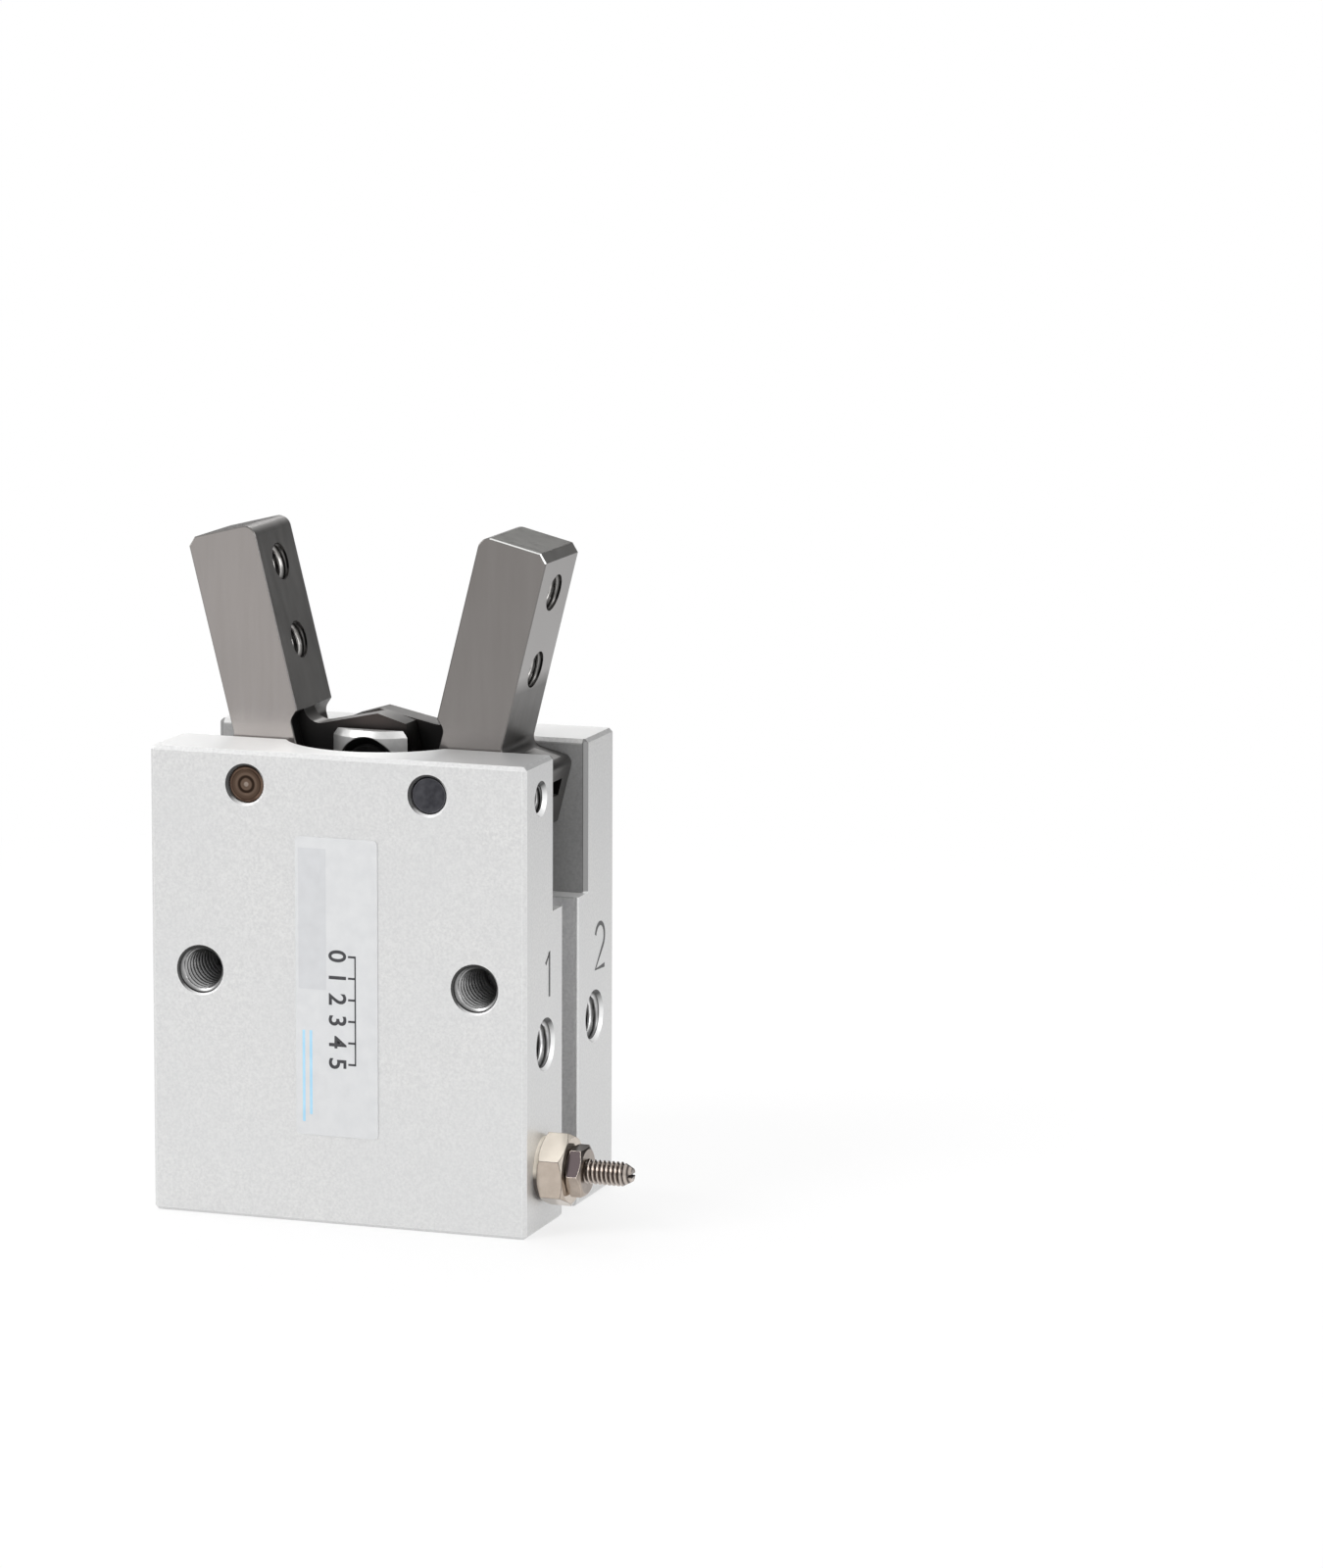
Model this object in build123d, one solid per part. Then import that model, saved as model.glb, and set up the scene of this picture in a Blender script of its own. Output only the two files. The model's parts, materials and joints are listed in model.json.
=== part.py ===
from build123d import *
import math
import os

# Pneumatic angular gripper, two fingers, double acting, millimetres.
# Origin: centre of the body's bottom face. +X right along the front, +Y to the back, +Z up.
# The part is at rest with both fingers open, as it is stored and shown.

# How far a cutter runs past the surface it cuts through
OVER = 1.0

# Body block
body_width = 42.0
body_depth = 27.6
body_height = 50.0
edge_break = 0.4
slot_width = 10.2
slot_depth = 16.5
sensor_groove_width = 5.0
sensor_groove_depth = 3.4
groove_edge_break = 0.15

# Cylinder bore, and the wider bore above it that the rod cover drops into
bore_radius = 10.0
cover_bore_radius = 10.5

# Fingers, in the finger's own upright frame: out is away from the centre, up is along the finger
open_angle = 14.0
close_travel = 19.0
open_margin = 1.0
pivot_spread = 20.4
pivot_below_top = 3.6
finger_thickness = 10.0
finger_width = 7.7
finger_rise = 26.1
finger_corner = 0.85
finger_inner_round = 1.3
finger_edge_break = 0.12
base_top = 4.0
base_bottom = 6.2
heel_reach = 8.65
heel_corner = 1.0
heel_slope = 3.2
neck_fillet = 1.1
inner_face = 2.9
bevel_top = 5.85
bevel_bottom = 4.95
recess_round = 1.2
lever_fillet = 1.85
lever_fillet_play = 0.02
lever_ridge = 11.95
lever_ridge_drop = 0.25
lever_tip = 14.8
lever_tip_drop = 1.7
lever_tip_chamfer = 1.8
lever_gap = 0.15
lever_face = 3.1
heel_pocket_width = 5.6
heel_pocket_height = 1.9
heel_pocket_depth = 1.5
finger_hole_radius = 2.0
finger_hole_below_top = 4.65
finger_hole_spacing = 8.5

# Pivot pins, their bushes and the grub screws that lock them
pin_radius = 2.0
pin_recess = 0.35
pin_mouth = 0.25
pin_end_break = 0.2
pin_dimple_radius = 0.45
pin_dimple_tip = 0.02
bush_wall = 0.75
running_gap = 0.03
grub_radius = 1.5
grub_length = 4.0
grub_mouth = 0.4
grub_socket = 1.5
grub_from_front = 4.6
grub_below_pivot = 0.4

# Rod end, cross pin and rollers
rod_end_radius = 5.7
rod_end_slot_width = 7.8
rod_end_above_pin = 3.93
rod_end_below_pin = 9.8
rod_end_slot_below_pin = 6.9
rod_end_rim_width = 0.35
rod_end_rim_height = 0.7
cross_pin_radius = 2.5
cross_pin_recess = 0.75
cross_pin_mouth = 1.0
roller_radius = 3.5
roller_side_gap = 0.05
roller_gap = 0.05
lever_slot_drop = 1.5
lever_slot_play = 0.3

# Rod, piston and what the piston carries
rod_radius = 4.0
rod_spigot_radius = 2.5
rod_spigot_length = 2.4
piston_length = 14.8
piston_gap = 0.05
piston_stop_gap = 0.12
rod_seat_depth = 2.0
seal_gap = 0.03
piston_seal_height = 1.6
piston_seal_depth = 1.6
piston_seal_from_top = 2.0
piston_land = 1.0
wear_ring_height = 4.0
wear_ring_depth = 0.9
magnet_height = 3.0
magnet_depth = 2.5
magnet_recess = 0.35
screw_radius = 2.0
screw_head_radius = 3.5
screw_head_height = 4.0
screw_head_gap = 0.1
screw_grip = 6.0
screw_socket = 3.0
screw_socket_depth = 2.0

# Rod cover with its bush, seal and ring
cover_height = 5.0
cover_rod_gap = 0.2
rod_bush_radius = 5.0
rod_bush_length = 2.6
rod_seal_radius = 6.0
rod_seal_height = 1.8
cover_ring_groove_from_bottom = 1.6
ring_section = 1.2
ring_play = 0.2
ring_gap = 0.01
bumper_height = 1.4
bumper_inner_radius = 4.6
bumper_outer_radius = 7.4

# Retaining rings
clip_thickness = 1.0
clip_bite = 0.8
clip_gap = 0.05
clip_width = 2.0
clip_opening = 42.0
clip_lug_radius = 1.3
clip_lug_hole = 0.5
lower_clip_height = 0.6

# Head cap
cap_height = 4.0
cap_ring_from_bottom = 1.3
cap_recess_radius = 6.0
cap_recess_depth = 1.4

# Threaded holes in the body, drawn at the thread's nominal radius
mount_radius = 2.5
mount_spacing = 30.8
mount_height = 26.3
back_mount_height = 13.0
mount_depth = 10.0
mount_mouth = 0.2
bottom_mount_radius = 2.0
bottom_mount_spacing = 28.4
bottom_mount_depth = 8.0
port_radius = 2.5
port_spread = 15.4
port_height = 19.7
port_depth = 6.5
port_mouth = 0.35

# Air passages
passage_radius = 0.8
passage_below_seat = 0.3
front_passage_from_side = 4.8
rear_passage_from_side = 10.2
plug_radius = 1.2
plug_length = 2.0

# Needle valve
needle_from_front = 5.6
needle_height = 6.6
needle_cavity_depth = 6.4
needle_seat_radius = 1.0
gasket_thickness = 0.4
gasket_radius = 3.4
needle_hex = 7.0
needle_hex_height = 2.8
needle_hex_turn = 7.0
needle_thread_length = 3.6
lock_nut_hex = 5.0
lock_nut_height = 1.7
lock_nut_turn = 32.0
hex_chamfer = 0.55
hex_chamfer_angle = 30.0
stud_radius = 1.3
stud_gap = 0.05
stud_end = 30.9
stud_nose = 1.1
stud_nose_radius = 0.7
stud_slot_width = 0.3
stud_slot_depth = 0.35
needle_cone_length = 3.0
needle_tip_radius = 0.45
needle_tip_inset = 0.7

# Label
label_width = 9.2
label_height = 31.8
label_centre_height = 25.45
label_thickness = 0.12
label_corner = 0.5

# Places worked out from the sizes above
front = -body_depth / 2
back = body_depth / 2
side = body_width / 2
slot_floor = body_height - slot_depth
pivot_x = pivot_spread / 2
pivot_z = body_height - pivot_below_top


def pin_rise(angle):
    """How far the cross pin stands above the pivots with the fingers open by an angle."""
    turn = math.radians(angle)
    return (pivot_x * math.sin(turn) - lever_slot_drop) / math.cos(turn)


cross_pin_z = pivot_z + pin_rise(open_angle)
rod_end_top = cross_pin_z + rod_end_above_pin
rod_end_bottom = cross_pin_z - rod_end_below_pin
stroke_down = pin_rise(open_angle) - pin_rise(open_angle - close_travel)
stroke_up = pin_rise(open_angle + open_margin) - pin_rise(open_angle)
cap_bottom = lower_clip_height + clip_thickness
cap_top = cap_bottom + cap_height
lower_bumper_top = cap_top + bumper_height
piston_bottom = lower_bumper_top + piston_stop_gap + stroke_down
piston_top = piston_bottom + piston_length
piston_seal_low = piston_top - piston_seal_from_top - piston_seal_height
wear_ring_low = piston_seal_low - piston_land - wear_ring_height
magnet_low = wear_ring_low - piston_land - magnet_height
upper_bumper_bottom = piston_top + stroke_up + piston_stop_gap
cover_seat_height = upper_bumper_bottom + bumper_height
cover_top = cover_seat_height + cover_height
piston_radius = bore_radius - piston_gap
seal_radius = bore_radius - seal_gap
rod_bottom = piston_top - rod_seat_depth
grub_y = front + grub_from_front
grub_z = pivot_z - grub_below_pivot
port_y = port_spread / 2
needle_y = front + needle_from_front
front_passage_x = side - front_passage_from_side
rear_passage_x = side - rear_passage_from_side
rear_passage_top = cover_seat_height - passage_below_seat - passage_radius
hex_start = side + gasket_thickness
hex_end = hex_start + needle_hex_height

LOW = (Align.CENTER, Align.CENTER, Align.MIN)
X_OUT = Vector(1, 0, 0)
X_IN = Vector(-1, 0, 0)
Y_FRONT = Vector(0, -1, 0)
Y_BACK = Vector(0, 1, 0)
Z_DOWN = Vector(0, 0, -1)


def along(origin, direction, shape):
    """Places a shape made along local +Z so that it starts at origin and runs in a direction."""
    return Plane(origin=origin, z_dir=direction) * shape


def round_bar(radius, length):
    return Cylinder(radius, length, align=LOW)


def tube(outer, inner, length):
    return round_bar(outer, length) - Pos(0, 0, -OVER) * round_bar(inner, length + 2 * OVER)


def drill(mouth_point, outward, radius, depth, mouth=0.0):
    """A cutter for a hole whose mouth is at a point and opens in the outward direction."""
    cutter = Pos(0, 0, -depth) * round_bar(radius, depth + OVER)
    if mouth > 0:
        cutter += Pos(0, 0, -mouth) * Cone(radius, radius + mouth, mouth, align=LOW)
        cutter += round_bar(radius + mouth, OVER)
    return along(mouth_point, outward, cutter)


def hex_bar(across_flats, height, chamfer_size):
    """A nut blank with both ends chamfered round."""
    corner_radius = across_flats / math.sqrt(3)
    blank = extrude(RegularPolygon(corner_radius, 6), height)
    slope = chamfer_size * math.tan(math.radians(hex_chamfer_angle))
    lower = Cone(corner_radius - chamfer_size, corner_radius, slope, align=LOW)
    middle = Pos(0, 0, slope) * round_bar(corner_radius, height - 2 * slope)
    upper = Pos(0, 0, height - slope) * Cone(corner_radius, corner_radius - chamfer_size, slope, align=LOW)
    return blank & (lower + middle + upper)


def hex_socket(across_flats, depth):
    return extrude(RegularPolygon(across_flats / math.sqrt(3), 6), depth + OVER)


def section_ring(outer, inner, height_centre):
    """A round-section rubber ring between two radii."""
    section = (outer - inner) / 2 - ring_gap
    return Pos(0, 0, height_centre) * Torus((outer + inner) / 2, section)


def make_body():
    block = Box(body_width, body_depth, body_height, align=LOW)
    block = chamfer(block.edges(), edge_break)
    half = slot_width / 2
    block -= finger_slot(half)
    for sign in (1, -1):
        block -= sensor_groove(sign)
    block -= Pos(0, 0, -OVER) * round_bar(bore_radius, cover_seat_height + 2 * OVER)
    block -= Pos(0, 0, cover_seat_height) * round_bar(cover_bore_radius, body_height)
    lower_groove = round_bar(bore_radius + clip_bite, clip_thickness)
    upper_groove = round_bar(cover_bore_radius + clip_bite, clip_thickness)
    block -= Pos(0, 0, lower_clip_height) * lower_groove
    block -= Pos(0, 0, cover_top) * upper_groove
    block -= mount_holes()
    block -= pin_holes()
    block -= port_holes()
    block -= needle_holes()
    return block


def finger_slot(half):
    """The wide slot through the top that the fingers swing in, with its edges broken."""
    profile = Polyline(
        (-half - edge_break - OVER, body_height + OVER),
        (-half, body_height - edge_break),
        (-half, slot_floor),
        (half, slot_floor),
        (half, body_height - edge_break),
        (half + edge_break + OVER, body_height + OVER),
        close=True,
    )
    cut = extrude(Plane.YZ * make_face(profile), side + OVER, both=True)
    plan = Polyline(
        (-side - OVER, -half - edge_break - OVER),
        (-side + edge_break, -half),
        (side - edge_break, -half),
        (side + OVER, -half - edge_break - OVER),
        (side + OVER, half + edge_break + OVER),
        (side - edge_break, half),
        (-side + edge_break, half),
        (-side - OVER, half + edge_break + OVER),
        close=True,
    )
    flare = extrude(make_face(plan), slot_depth + OVER)
    return cut + Pos(0, 0, slot_floor) * flare


def sensor_groove(sign):
    """The upright groove in a side face that a position sensor slides into."""
    half = sensor_groove_width / 2
    plan = Polyline(
        (side - sensor_groove_depth, -half),
        (side - groove_edge_break, -half),
        (side + OVER, -half - groove_edge_break - OVER),
        (side + OVER, half + groove_edge_break + OVER),
        (side - groove_edge_break, half),
        (side - sensor_groove_depth, half),
        close=True,
    )
    groove = Pos(0, 0, -OVER) * extrude(make_face(plan), slot_floor + 2 * OVER)
    return groove if sign > 0 else Rot(0, 0, 180) * groove


def mount_holes():
    holes = []
    for sign in (1, -1):
        x = sign * mount_spacing / 2
        holes.append(drill((x, front, mount_height), Y_FRONT, mount_radius, mount_depth, mount_mouth))
        holes.append(drill((x, back, back_mount_height), Y_BACK, mount_radius, mount_depth, mount_mouth))
        bottom = (sign * bottom_mount_spacing / 2, 0, 0)
        holes.append(drill(bottom, Z_DOWN, bottom_mount_radius, bottom_mount_depth, mount_mouth))
    return holes


def pin_holes():
    """Holes through both plates for the pivot pins, and the grub screw holes that meet them."""
    holes = []
    for sign, outward in ((1, X_OUT), (-1, X_IN)):
        x = sign * pivot_x
        holes.append(drill((x, front, pivot_z), Y_FRONT, pin_radius, body_depth + OVER, pin_mouth))
        holes.append(drill((x, back, pivot_z), Y_BACK, pin_radius, 2 * pin_mouth, pin_mouth))
        depth = side - pivot_x - pin_radius / 2
        holes.append(drill((sign * side, grub_y, grub_z), outward, grub_radius, depth, grub_mouth))
    return holes


def port_holes():
    """Air ports in the right side, and the drilled ways from them to each end of the bore."""
    front_port = (side, -port_y, port_height)
    rear_port = (side, port_y, port_height)
    front_way = (front_passage_x, -port_y, 0)
    rear_way = (rear_passage_x, port_y, 0)
    rear_inlet = (0, port_y, rear_passage_top)
    holes = [
        drill(front_port, X_OUT, port_radius, port_depth, port_mouth),
        drill(rear_port, X_OUT, port_radius, port_depth, port_mouth),
        drill(rear_port, X_OUT, passage_radius, rear_passage_from_side),
        drill(front_way, Z_DOWN, passage_radius, port_height),
        drill(rear_way, Z_DOWN, passage_radius, rear_passage_top),
        drill(front_way, Z_DOWN, plug_radius, plug_length),
        drill(rear_way, Z_DOWN, plug_radius, plug_length),
        along(rear_inlet, X_OUT, round_bar(passage_radius, rear_passage_x)),
    ]
    return holes


def needle_holes():
    mouth = (side, needle_y, needle_height)
    return [
        drill(mouth, X_OUT, port_radius, needle_cavity_depth),
        drill(mouth, X_OUT, needle_seat_radius, side),
    ]


def finger_outline():
    """The upright and its heel, at full thickness, seen from the front with the pivot at 0, 0."""
    half = finger_width / 2
    outline = Polyline(
        (-half, finger_rise),
        (half - finger_corner, finger_rise),
        (half, finger_rise - finger_corner),
        (half, base_top),
        (heel_reach, base_top),
        (heel_reach, -heel_slope),
        (half, -base_bottom),
        (-inner_face, -base_bottom),
        (-inner_face, bevel_bottom),
        (-half, bevel_top),
        close=True,
    )
    face = make_face(outline)
    neck = face.vertices().sort_by_distance((half, base_top))[0]
    face = fillet(neck, neck_fillet)
    heel = face.vertices().sort_by_distance((heel_reach, base_top))[0]
    face = fillet(heel, heel_corner)
    recess = face.vertices().sort_by_distance((-inner_face, bevel_bottom))[0]
    face = fillet(recess, recess_round)
    inner_top = face.vertices().sort_by_distance((-half, finger_rise))[0]
    return fillet(inner_top, finger_inner_round)


def lever_outline():
    """The lever that reaches past the centre over the cross pin, seen from the front."""
    root = 0.0
    half = finger_width / 2
    top_of_fillet = base_top + lever_fillet
    outline = Polyline(
        (root, base_top),
        (root, top_of_fillet),
        (-half, top_of_fillet),
        (-half, base_top),
        (-lever_ridge, base_top - lever_ridge_drop),
        (-lever_tip, base_top - lever_ridge_drop - lever_tip_drop),
        (-lever_tip, -base_bottom + lever_tip_chamfer),
        (-lever_tip + lever_tip_chamfer, -base_bottom),
        (root, -base_bottom),
        close=True,
    )
    face = make_face(outline)
    corner = face.vertices().sort_by_distance((-half, base_top))[0]
    return fillet(corner, lever_fillet - lever_fillet_play)


def make_finger():
    """The right finger, upright about its pivot at the origin."""
    plate = extrude(Plane.XZ * finger_outline(), finger_thickness / 2, both=True)
    rims = plate.faces().sort_by(Axis.Y)
    plate = chamfer(rims[0].edges() + rims[-1].edges(), finger_edge_break)
    thickness = lever_face - lever_gap
    lever = Pos(0, lever_face, 0) * extrude(Plane.XZ * lever_outline(), thickness)
    finger = plate + lever
    slot_radius = roller_radius + roller_gap
    slot = SlotCenterToCenter(2 * lever_slot_play, 2 * slot_radius)
    slot_place = Pos(-pivot_x, 0, -lever_slot_drop)
    cutter = extrude(Plane.XZ * slot, finger_thickness, both=True)
    finger -= slot_place * cutter
    bush_hole = pin_radius + running_gap + bush_wall
    finger -= along((0, -finger_thickness, 0), Y_BACK, round_bar(bush_hole, 2 * finger_thickness))
    for row in range(2):
        height = finger_rise - finger_hole_below_top - row * finger_hole_spacing
        finger -= along((-finger_width, 0, height), X_OUT, round_bar(finger_hole_radius, 2 * finger_width))
    pocket = Box(2 * heel_pocket_depth, heel_pocket_width, heel_pocket_height)
    finger -= Pos(heel_reach, 0, heel_pocket_height / 2) * pocket
    return finger


def make_bush():
    bore = pin_radius + running_gap
    sleeve = tube(bore + bush_wall, bore, finger_thickness)
    return along((0, -finger_thickness / 2, 0), Y_BACK, sleeve)


def pose_right(shape):
    """Opens a right-hand piece by the rest angle and sets it on the right pivot."""
    return Pos(pivot_x, 0, pivot_z) * (Rot(0, open_angle, 0) * shape)


def turn_about(shape):
    """The left finger is the right one turned half a turn about the upright axis."""
    return Rot(0, 0, 180) * shape


def make_pin():
    """A pivot pin with a centre dimple in its front end only."""
    length = body_depth - 2 * pin_recess
    pin = round_bar(pin_radius, length)
    pin = chamfer(pin.edges().filter_by(GeomType.CIRCLE), pin_end_break)
    dimple = Cone(pin_dimple_radius, pin_dimple_tip, pin_dimple_radius, align=LOW)
    return along((0, front + pin_recess, 0), Y_BACK, pin - dimple)


def make_grub():
    """A socket grub screw along +X, with its flat end against the pin."""
    screw = round_bar(grub_radius, grub_length)
    socket_start = grub_length - grub_socket
    screw -= Pos(0, 0, socket_start) * hex_socket(grub_socket, grub_socket)
    return along((pivot_x + pin_radius, grub_y, grub_z), X_OUT, screw)


def make_rod_end():
    """The forked rod end: two ears with the cross pin, on a round base."""
    height = rod_end_top - rod_end_bottom
    fork = round_bar(rod_end_radius, height - rod_end_rim_height)
    rim = Cone(rod_end_radius, rod_end_radius - rod_end_rim_width, rod_end_rim_height, align=LOW)
    fork += Pos(0, 0, height - rod_end_rim_height) * rim
    fork = Pos(0, 0, rod_end_bottom) * fork
    slot_bottom = cross_pin_z - rod_end_slot_below_pin
    slot = Box(4 * rod_end_radius, rod_end_slot_width, height, align=LOW)
    fork -= Pos(0, 0, slot_bottom) * slot
    for sign, outward in ((-1, Y_FRONT), (1, Y_BACK)):
        mouth = (0, sign * rod_end_radius, cross_pin_z)
        fork -= drill(mouth, outward, cross_pin_radius, rod_end_radius, cross_pin_mouth)
    fork -= Pos(0, 0, rod_end_bottom - OVER) * round_bar(rod_spigot_radius, rod_spigot_length + OVER)
    return fork


def make_cross_pin():
    half = rod_end_radius - cross_pin_recess
    pin = round_bar(cross_pin_radius, 2 * half)
    pin = chamfer(pin.edges().filter_by(GeomType.CIRCLE), pin_end_break)
    return along((0, -half, cross_pin_z), Y_BACK, pin)


def make_roller(sign):
    """One of the two rollers on the cross pin, in the layer of one lever."""
    width = lever_face - lever_gap - 2 * roller_side_gap
    near = lever_gap + roller_side_gap
    roller = tube(roller_radius, cross_pin_radius + running_gap, width)
    start = near if sign > 0 else -near - width
    return along((0, start, cross_pin_z), Y_BACK, roller)


def make_piston_rod():
    rod = Pos(0, 0, rod_bottom) * round_bar(rod_radius, rod_end_bottom - rod_bottom)
    rod += Pos(0, 0, rod_end_bottom) * round_bar(rod_spigot_radius, rod_spigot_length)
    rod -= Pos(0, 0, rod_bottom - OVER) * round_bar(screw_radius, screw_grip + 2 * OVER)
    return rod


def ring_groove(floor_radius, height):
    """A cutter for a groove round a piston or cap, from its floor outwards."""
    return tube(2 * bore_radius, floor_radius, height)


def make_piston():
    piston = Pos(0, 0, piston_bottom) * round_bar(piston_radius, piston_length)
    piston = chamfer(piston.edges().filter_by(GeomType.CIRCLE), edge_break)
    piston -= Pos(0, 0, piston_seal_low) * ring_groove(seal_radius - piston_seal_depth, piston_seal_height)
    piston -= Pos(0, 0, wear_ring_low) * ring_groove(seal_radius - wear_ring_depth, wear_ring_height)
    magnet_floor = piston_radius - magnet_recess - magnet_depth
    piston -= Pos(0, 0, magnet_low) * ring_groove(magnet_floor, magnet_height)
    piston -= Pos(0, 0, rod_bottom) * round_bar(rod_radius, rod_seat_depth + OVER)
    piston -= Pos(0, 0, piston_bottom - OVER) * round_bar(screw_radius, 2 * bore_radius)
    head_room = screw_head_height + screw_head_gap + OVER
    piston -= Pos(0, 0, piston_bottom - OVER) * round_bar(screw_head_radius + screw_head_gap, head_room)
    return piston


def make_piston_seal():
    seal = tube(seal_radius, seal_radius - piston_seal_depth, piston_seal_height)
    return Pos(0, 0, piston_seal_low) * seal


def make_wear_ring():
    ring = tube(seal_radius, seal_radius - wear_ring_depth, wear_ring_height)
    return Pos(0, 0, wear_ring_low) * ring


def make_magnet():
    outer = piston_radius - magnet_recess
    return Pos(0, 0, magnet_low) * tube(outer, outer - magnet_depth, magnet_height)


def make_piston_screw():
    head_low = piston_bottom + screw_head_gap
    shank_low = head_low + screw_head_height
    shank_top = rod_bottom + screw_grip
    screw = Pos(0, 0, head_low) * round_bar(screw_head_radius, screw_head_height)
    screw += Pos(0, 0, shank_low) * round_bar(screw_radius, shank_top - shank_low)
    socket = Pos(0, 0, head_low - OVER) * hex_socket(screw_socket, screw_socket_depth)
    return screw - socket


def make_rod_cover():
    cover = Pos(0, 0, cover_seat_height) * round_bar(cover_bore_radius, cover_height)
    through = round_bar(rod_radius + cover_rod_gap, 2 * cover_height)
    cover -= Pos(0, 0, cover_seat_height - OVER) * through
    cover -= Pos(0, 0, cover_seat_height - OVER) * round_bar(rod_bush_radius, rod_bush_length + OVER)
    seal_floor = cover_seat_height + rod_bush_length + cover_rod_gap
    cover -= Pos(0, 0, seal_floor) * round_bar(rod_seal_radius, cover_height)
    groove_low = cover_seat_height + cover_ring_groove_from_bottom
    groove = ring_groove(cover_bore_radius - ring_section, ring_section + ring_play)
    return cover - Pos(0, 0, groove_low) * groove


def make_rod_bush():
    return Pos(0, 0, cover_seat_height) * tube(rod_bush_radius, rod_radius + running_gap, rod_bush_length)


def make_rod_seal():
    low = cover_seat_height + rod_bush_length + cover_rod_gap
    return Pos(0, 0, low) * tube(rod_seal_radius, rod_radius + seal_gap, rod_seal_height)


def make_cover_ring():
    centre = cover_seat_height + cover_ring_groove_from_bottom + (ring_section + ring_play) / 2
    return section_ring(cover_bore_radius, cover_bore_radius - ring_section, centre)


def make_clip(hole_radius, height):
    """An internal retaining ring: an open ring with two lugs that have plier holes."""
    outer = hole_radius + clip_bite - clip_gap
    inner = outer - clip_width
    ring = tube(outer, inner, clip_thickness)
    wedge_reach = 2 * outer
    half_gap = math.radians(clip_opening / 2)
    wedge = Polyline(
        (0, 0),
        (-wedge_reach * math.sin(half_gap), wedge_reach * math.cos(half_gap)),
        (wedge_reach * math.sin(half_gap), wedge_reach * math.cos(half_gap)),
        close=True,
    )
    ring -= extrude(make_face(wedge), clip_thickness)
    lug_reach = inner + clip_width / 2 - clip_lug_radius / 2
    lug_angle = half_gap + clip_lug_radius / lug_reach
    for sign in (1, -1):
        place = Pos(sign * lug_reach * math.sin(lug_angle), lug_reach * math.cos(lug_angle), 0)
        ring += place * round_bar(clip_lug_radius, clip_thickness)
        ring -= place * Pos(0, 0, -OVER) * round_bar(clip_lug_hole, clip_thickness + 2 * OVER)
    return Pos(0, 0, height) * ring


def make_head_cap():
    cap = Pos(0, 0, cap_bottom) * round_bar(bore_radius, cap_height)
    recess = round_bar(cap_recess_radius, cap_recess_depth + OVER)
    cap -= Pos(0, 0, cap_bottom - OVER) * recess
    groove = ring_groove(bore_radius - ring_section, ring_section + ring_play)
    return cap - Pos(0, 0, cap_bottom + cap_ring_from_bottom) * groove


def make_cap_ring():
    centre = cap_bottom + cap_ring_from_bottom + (ring_section + ring_play) / 2
    return section_ring(bore_radius, bore_radius - ring_section, centre)


def make_bumper(low):
    return Pos(0, 0, low) * tube(bumper_outer_radius, bumper_inner_radius, bumper_height)


def on_needle_axis(x, shape):
    """Places a shape made along +Z on the needle valve's axis, from x outwards."""
    return Plane(origin=(x, needle_y, needle_height), x_dir=(0, 0, 1), z_dir=(1, 0, 0)) * shape


def make_needle_body():
    thread = round_bar(port_radius, needle_thread_length + gasket_thickness)
    head = hex_bar(needle_hex, needle_hex_height, hex_chamfer)
    thread_start = hex_start - needle_thread_length - gasket_thickness
    valve = on_needle_axis(thread_start, thread) + on_needle_axis(hex_start, Rot(0, 0, needle_hex_turn) * head)
    bore = round_bar(stud_radius + stud_gap, 2 * side)
    return valve - on_needle_axis(0, bore)


def make_gasket():
    return on_needle_axis(side, tube(gasket_radius, port_radius, gasket_thickness))


def make_lock_nut():
    nut = hex_bar(lock_nut_hex, lock_nut_height, hex_chamfer)
    nut -= Pos(0, 0, -OVER) * round_bar(stud_radius + stud_gap, lock_nut_height + 2 * OVER)
    return on_needle_axis(hex_end, Rot(0, 0, lock_nut_turn) * nut)


def make_needle_screw():
    """The adjusting stud with a screwdriver slot outside and the needle's cone inside."""
    tip_x = side - needle_cavity_depth - needle_tip_inset
    cone_end = tip_x + needle_cone_length
    stud = on_needle_axis(cone_end, round_bar(stud_radius, stud_end - stud_nose - cone_end))
    stud += on_needle_axis(tip_x, Cone(needle_tip_radius, stud_radius, needle_cone_length, align=LOW))
    nose = Cone(stud_radius, stud_nose_radius, stud_nose, align=LOW)
    stud += on_needle_axis(stud_end - stud_nose, nose)
    slot = Box(stud_slot_width, 4 * stud_radius, stud_slot_depth + OVER, align=LOW)
    return stud - on_needle_axis(stud_end - stud_slot_depth, slot)


def make_plugs():
    """Two plugs in the bottom face that close the drilled air ways."""
    plug = round_bar(plug_radius, plug_length)
    front_plug = Pos(front_passage_x, -port_y, 0) * plug
    rear_plug = Pos(rear_passage_x, port_y, 0) * plug
    return Compound(children=[front_plug, rear_plug])


def make_label():
    sheet = RectangleRounded(label_width, label_height, label_corner)
    return Pos(0, front, label_centre_height) * extrude(Plane.XZ * sheet, label_thickness)


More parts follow.
